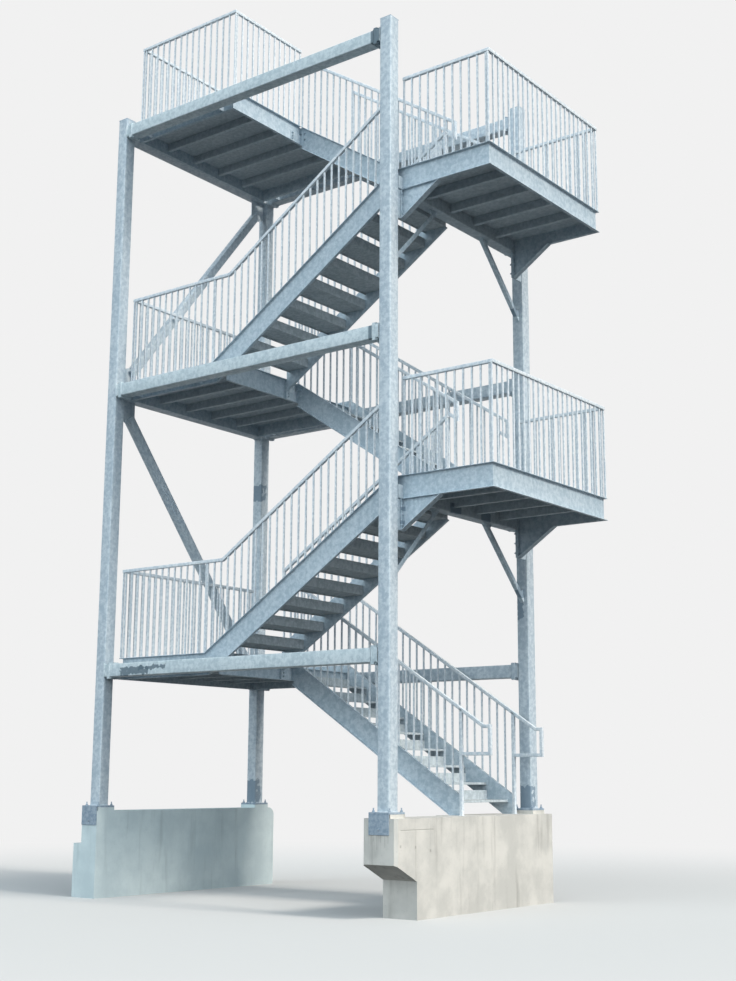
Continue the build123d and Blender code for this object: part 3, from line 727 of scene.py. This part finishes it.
for number, level in enumerate(half_levels, 1):
    path = [(-half_post, front_face, level), (half_right, front_face, level),
            (half_right, back_face, level), (-half_post, back_face, level)]
    add_piece(f"half_landing_edges_{number}", edging, [swept(edge_channel, path, up=upward)],
              f"half_landing_frame_{number}")
    add_piece(f"half_landing_joists_{number}", shaded, joists(half_post, half_right - flange, level))

chequered = galvanised("floor plate", (0.50, 0.56, 0.60, 1), (0.38, 0.44, 0.48, 1), metallic=0.0,
                       dusty=0.6, pattern=1.0)
dress(chequered, "landing_decks", "half_landing_decks")

# Haunches. Under each half landing a tapered plate with a sloping flange stands out from the column;
# its end plate is bolted to a bracket plate.

haunch_depth, haunch_length, haunch_plate, haunch_web, haunch_flange = 0.318, 0.476, 0.016, 0.010, 0.012
haunch_bead, bead_out = rectangle(0.006, 0.006, 0.0025, 1), 0.007
haunch_bolts = [(a, b) for a in (-0.024, 0.024) for b in (0.045, 0.16, 0.275)]
haunch_steel = galvanised(
    "haunches", (0.52, 0.60, 0.66, 1), (0.37, 0.46, 0.53, 1),
    patches=[((0.085, 0.14, half_levels[0] - 0.355), (0.025, 0.08, 0.024), 0.03),
             ((0.080, 0.14, half_levels[0] - 0.500), (0.020, 0.08, 0.020), 0.03)])
for number, level in enumerate(half_levels, 1):
    top = level - channel_depth
    toe = top - haunch_depth
    low = toe - haunch_flange
    tip = half_post + haunch_length
    start = half_post - haunch_plate
    shapes = []
    for y, y_bracket, y_post in ((front_face, front_face + 2 * flange, half_post),
                                 (back_face - 2 * flange, back_face - 2 * flange, depth - half_post)):
        middle = y + flange
        shapes.append(plated([(half_post, top), (half_post, toe), (tip, top)],
                             (0, middle + haunch_web / 2, 0), right, haunch_web, 0.001))
        shapes.append(plated([(half_post, toe), (half_post, low), (tip + haunch_flange, top), (tip, top)],
                             (0, y + 2 * flange, 0), right, 2 * flange, 0.001))
        shapes.append(block((start + half_seam, y, low), (half_post, y + 2 * flange, top)))
        shapes.append(block((start - haunch_plate, min(y_bracket, y_post), low),
                            (start - half_seam, max(y_bracket, y_post), top)))
        for seam in (middle - bead_out, middle + bead_out):
            shapes.append(swept(haunch_bead, [(half_post + 0.004, seam, toe + 0.004),
                                              (tip - 0.006, seam, top - 0.001)], side=inward))
            shapes.append(swept(haunch_bead, [(half_post + 0.002, seam, toe + 0.004),
                                              (half_post + 0.002, seam, top)], side=inward))
        holes = [(middle + a, toe + b) for a, b in haunch_bolts]
        shapes += fasteners([(half_post, a, b) for a, b in holes], right, 0.020)
        shapes += fasteners([(start - haunch_plate, a, b) for a, b in holes], -right, 0.020, 0.006)
    add_piece(f"haunch_pair_{number}", haunch_steel, shapes, f"haunches_{number}")

# Stringers. Each flight hangs between two channels; the outer front one continues the landing's
# channel round the mitre, and the lowest pair is cut off level on the wall.

slope, plumb = riser / going, (right, right)
for number, level in enumerate(half_levels, 1):
    low = level - flight_rise
    foot = low + (landing_right - kink) * slope
    shapes = [swept(edge_channel, [(kink, front_face, low), (-half_post, front_face, level)],
                    side=inward, ends=(bend, right)),
              swept(edge_channel, [(-half_post, inner_front, level), (landing_right, inner_front, foot)],
                    side=-inward, ends=plumb)]
    add_piece(f"up_stringers_{number}", edging, shapes, f"up_flight_stringers_{number}")

wall_top, foot_end = -0.060, -0.075
for number, level in enumerate(levels, 1):
    end = foot_end if number == 1 else -half_post
    foot = level - (end - landing_right) * slope
    shapes = [swept(edge_channel, [(landing_right, inner_back, level), (end, inner_back, foot)],
                    side=inward, ends=plumb),
              swept(edge_channel, [(end, back_face, foot), (landing_right, back_face, level)],
                    side=-inward, ends=plumb)]
    add_piece(f"down_stringers_{number}", edging, shapes, f"down_flight_stringers_{number}",
              floor=wall_top if number == 1 else None)

# Treads. Plates folded from one sheet: a lip hangs down at the nosing, and the back edge turns up
# to close most of the gap to the next one.

flight_width = 1.120
tread_plate, tread_depth, lip, upstand = 0.005, 0.288, 0.025, 0.110
fold = rounded([(0, 0), (tread_depth - tread_plate, 0), (tread_depth - tread_plate, upstand - tread_plate),
                (tread_depth, upstand - tread_plate), (tread_depth, -tread_plate),
                (tread_plate, -tread_plate), (tread_plate, -lip), (0, -lip)],
               [0.006, 0.002, 0.0008, 0.0008, 0.006, 0.002, 0.0008, 0.0008])
tread_steel = galvanised("treads", (0.50, 0.55, 0.58, 1), (0.36, 0.41, 0.44, 1), metallic=0.0,
                         dusty=0.6, pattern=1.0)


def flight_treads(first, low, climb, y_start):
    """Eight folded treads; climb is +1 where the flight rises to the right."""
    near, far = y_start + flange, y_start + flight_width - flange
    run = (far, near) if climb > 0 else (near, far)
    return [swept(fold, [(first + climb * k * going, y, low + (k + 1) * riser - deck_set) for y in run],
                  up=upward) for k in range(risers - 1)]


treads_reach = (risers - 1) * going
for way, tops, first, climb, y in (("up", half_levels, -half_post - treads_reach, 1, front_face),
                                   ("down", levels, landing_right + treads_reach, -1, inner_back)):
    for number, level in enumerate(tops, 1):
        add_piece(f"{way}_treads_{number}", tread_steel,
                  flight_treads(first, level - flight_rise, climb, y), f"{way}_flight_treads_{number}")

# Guards. Square balusters are welded between the channels' top edges and a square rail, which is
# mitred at its bends; it ends in a loop over the half landings and in a longer one at the foot.

rail_size, half_rail, half_bar, pitch, inset = 0.038, 0.019, 0.0095, 0.104, 0.020
rail_section = rectangle(rail_size, rail_size, 0.005, 3)
bar_ring = rectangle(2 * half_bar, 2 * half_bar, 0.002, 1)
guard_height, up_height, down_height = 1.070, 0.910, 0.950
guard_steel = galvanised("guards", (0.74, 0.78, 0.81, 1), (0.54, 0.61, 0.67, 1), clouds=26.0, dusty=0.15)


def bars(direction, place, foot, head, start, end):
    """Balusters at even steps from start to end, with small weld collars at foot and head.

    Direction is the horizontal line of the panel, and place a point of it at zero. Foot and head
    are lines of (distance, height), read at each corner of a baluster.
    """
    count = max(2, round((end - start) / pitch) + 1)
    centres = start + half_bar + (end - start - 2 * half_bar) / (count - 1) * np.arange(count)
    direction = np.asarray(direction, float)
    across = np.array([-direction[1], direction[0], 0])
    foot, head = np.array(foot, float), np.array(head, float)

    def ring(grow, line, lift):
        """Points of all balusters' outlines, grown, on a line of heights and lifted."""
        run = centres[:, None] + bar_ring[None, :, 0] * grow
        height = np.interp(run, line[:, 0], line[:, 1]) + lift
        return (np.asarray(place, float) + run[..., None] * direction
                + (bar_ring[:, 1] * grow)[None, :, None] * across + height[..., None] * upward)

    shapes = []
    for rings in (
            [ring(1, foot, 0), ring(1, head, -half_rail)],
            [ring(1.42, foot, 0), ring(1.38, foot, 0.0015), ring(1.02, foot, 0.005)],
            [ring(1.02, head, -rail_size - 0.004), ring(1.30, head, -rail_size),
             ring(1.30, head, -half_rail)]):
        points = np.stack(rings, 1)
        _, quads, caps = lofted(points[0])
        shapes.append(repeated(points.reshape(count, -1, 3), quads, caps))
    return shapes


def flat_bars(direction, place, start, end, level):
    """Balusters along a level edge."""
    return bars(direction, place, [(start, level), (end, level)],
                [(start, level + guard_height), (end, level + guard_height)], start, end)


gap = 0.003
rail_front, rail_back = front_face + inset, back_face - inset
rail_left, rail_far = landing_left + inset, half_right - inset
for number, level in enumerate(levels, 1):
    kinked = number < 3
    stop = kink if kinked else landing_right
    high = level + guard_height - half_rail
    shapes = flat_bars(right, (0, rail_front, 0), landing_left + rail_size + gap, stop - gap, level)
    shapes += flat_bars(inward, (rail_left, 0, 0), front_face, back_face, level)
    path = [(rail_left, back_face, high), (rail_left, rail_front, high), (stop, rail_front, high)]
    if not kinked:
        path[-1] = (landing_right - inset, rail_front, high)
        path.append((landing_right - inset, inner_back, high))
        shapes += flat_bars(inward, (landing_right - inset, 0, 0), rail_front + half_rail + gap,
                            inner_back, level)
    shapes.append(swept(rail_section, path, up=upward))
    add_piece(f"landing_guard_{number}", guard_steel, shapes, f"landing_guards_{number}")

for number, level in enumerate(half_levels, 1):
    high = level + guard_height - half_rail
    first = half_post + 0.015
    shapes = []
    for y in (rail_front, rail_back):
        shapes += flat_bars(right, (0, y, 0), first, half_right - rail_size - gap, level)
    shapes += flat_bars(inward, (rail_far, 0, 0), front_face, back_face, level)
    shapes.append(swept(rail_section, [(first, rail_front, high), (rail_far, rail_front, high),
                                       (rail_far, rail_back, high), (first, rail_back, high)], up=upward))
    add_piece(f"half_landing_guard_{number}", guard_steel, shapes, f"half_landing_guards_{number}")

for number, level in enumerate(half_levels, 1):
    low = level - flight_rise
    turn_x = kink + (guard_height - up_height) / slope
    line = [(kink, low), (-half_post, level)]
    head = [(kink, low + guard_height), (turn_x, low + guard_height), (-half_post, level + up_height)]
    inner_start = landing_right + gap
    inner_head = [(inner_start, low + (inner_start - kink) * slope + up_height), head[-1]]
    shapes = bars(right, (0, rail_front, 0), line, head, kink, -half_post)
    shapes += bars(right, (0, inner_front - inset, 0), line, inner_head, inner_start, -half_post)
    for y, top_line in ((rail_front, head), (inner_front - inset, inner_head)):
        shapes.append(swept(rail_section, [(x, y, z - half_rail) for x, z in top_line], side=inward))
    add_piece(f"up_guard_{number}", guard_steel, shapes, f"up_flight_guards_{number}")

foot_loop, foot_loop_depth, foot_bend = 0.389, 0.290, 0.8
end_loop, end_loop_depth = 0.110, 0.190
for number, level in enumerate(levels, 1):
    lowest = number == 1
    start = landing_right + gap
    end = foot_end if lowest else -half_post
    foot = [(landing_right, level), (end, level - (end - landing_right) * slope)]
    head = [(start, level - gap * slope + down_height), (end, foot[-1][1] + down_height)]
    if lowest:
        last = end - pitch + 2 * half_bar
        bend_x = end + foot_bend * foot_loop
        high = head[-1][1] - (bend_x - end) * slope
        low = high - foot_loop_depth
        path = [head[0], (bend_x, high), (end + foot_loop, high), (end + foot_loop, low),
                (end + rail_size, low)]
    else:
        last = end - end_loop
        low = head[-1][1] - end_loop_depth
        path = head + [(end, low), (last, low + end_loop * slope)]
    shapes = []
    for y in (inner_back + inset, rail_back):
        shapes += bars(right, (0, y, 0), foot, head, start, last)
        shapes.append(swept(rail_section, [(x, y, z - half_rail) for x, z in path], side=inward))
        if lowest:
            newel = end + half_rail
            newel_top = head[-1][1] - half_rail * slope - half_rail
            shapes.append(swept(rail_section, [(newel, y, wall_top), (newel, y, newel_top)], side=right,
                                ends=(None, (slope, 0, 1))))
            shapes.append(collar(rail_section, (newel, y, wall_top), upward, 0.006))
    add_piece(f"down_guard_{number}", guard_steel, shapes, f"down_flight_guards_{number}")

# Stage. A plain pale floor under the walls, a soft sun from the right, two wide fills at the front
# and the right, and sky light all round.


def shown(tree):
    """1 where the camera, a gloss or a glass sees the surface, and 0 where it only lights."""
    seen = put(tree, "LightPath").outputs
    either = reckon(tree, "MAXIMUM", seen["Is Camera Ray"], seen["Is Glossy Ray"])
    return reckon(tree, "MAXIMUM", either, seen["Is Transmission Ray"])


floor_mesh = bpy.data.meshes.new("floor")
floor_mesh.from_pydata([(-90, -90, 0), (90, -90, 0), (90, 90, 0), (-90, 90, 0)], [], [(0, 1, 2, 3)])
floor = add_object("floor", floor_mesh)
paint, tree, shader = new_material("pale floor")
share = shown(tree)
place = put(tree, "TexCoord").outputs["Object"]
distance = put(tree, "VectorMath", [(0, place)], operation="LENGTH").outputs["Value"]
fade = between(tree, distance, 4.0, 16.0)
near = blended(tree, fade, (0.62, 0.62, 0.62, 1), (0, 0, 0, 1))
glow = blended(tree, reckon(tree, "MULTIPLY", fade, share), (0, 0, 0, 1), (0.88, 0.88, 0.88, 1))
colour = blended(tree, share, (0.08, 0.08, 0.08, 1), near)
tree.links.new(colour, shader["Base Color"])
tree.links.new(glow, shader["Emission Color"])
shader["Emission Strength"].default_value = 1.0
shader["Roughness"].default_value = 0.9
shader["Specular IOR Level"].default_value = 0.0
floor_mesh.materials.append(paint)

world = bpy.data.worlds.new("studio")
world.use_nodes = True
bpy.context.scene.world = world
sky = world.node_tree
sky.links.new(blended(sky, shown(sky), (0.36, 0.42, 0.46, 1), (0.88, 0.88, 0.88, 1)),
              sky.nodes["Background"].inputs["Color"])


def lamp(name, energy, spread, colour, towards):
    """Distant lamp that looks spread degrees wide, in the direction towards seen from the tower."""
    light = add_object(name, bpy.data.lights.new(name, "SUN"))
    light.data.energy = energy
    light.data.angle = math.radians(spread)
    light.data.color = colour
    light.rotation_euler = Vector(towards).to_track_quat("Z", "Y").to_euler()


lamp("sun", 2.4, 12, (1.0, 0.92, 0.82), (0.82, 0.04, 0.66))
lamp("front fill", 1.75, 60, (0.84, 0.95, 1.0), (-0.1, -1.0, 0.45))
lamp("side fill", 1.4, 50, (0.90, 0.97, 1.0), (1.0, -0.20, 0.60))

camera = add_object("camera", bpy.data.cameras.new("camera"))
camera.data.lens = 51.90
camera.data.sensor_width = 36
camera.data.clip_end = 400
camera.matrix_world = (Matrix.Translation(in_model(8.5970, -11.6004, 0.3470))
                       @ Matrix.Rotation(math.radians(37.3780), 4, "Z")
                       @ Matrix.Rotation(math.radians(90 + 11.4335), 4, "X")
                       @ Matrix.Rotation(math.radians(0.2962), 4, "Z"))
bpy.context.scene.camera = camera
bpy.context.scene.view_settings.view_transform = "Standard"
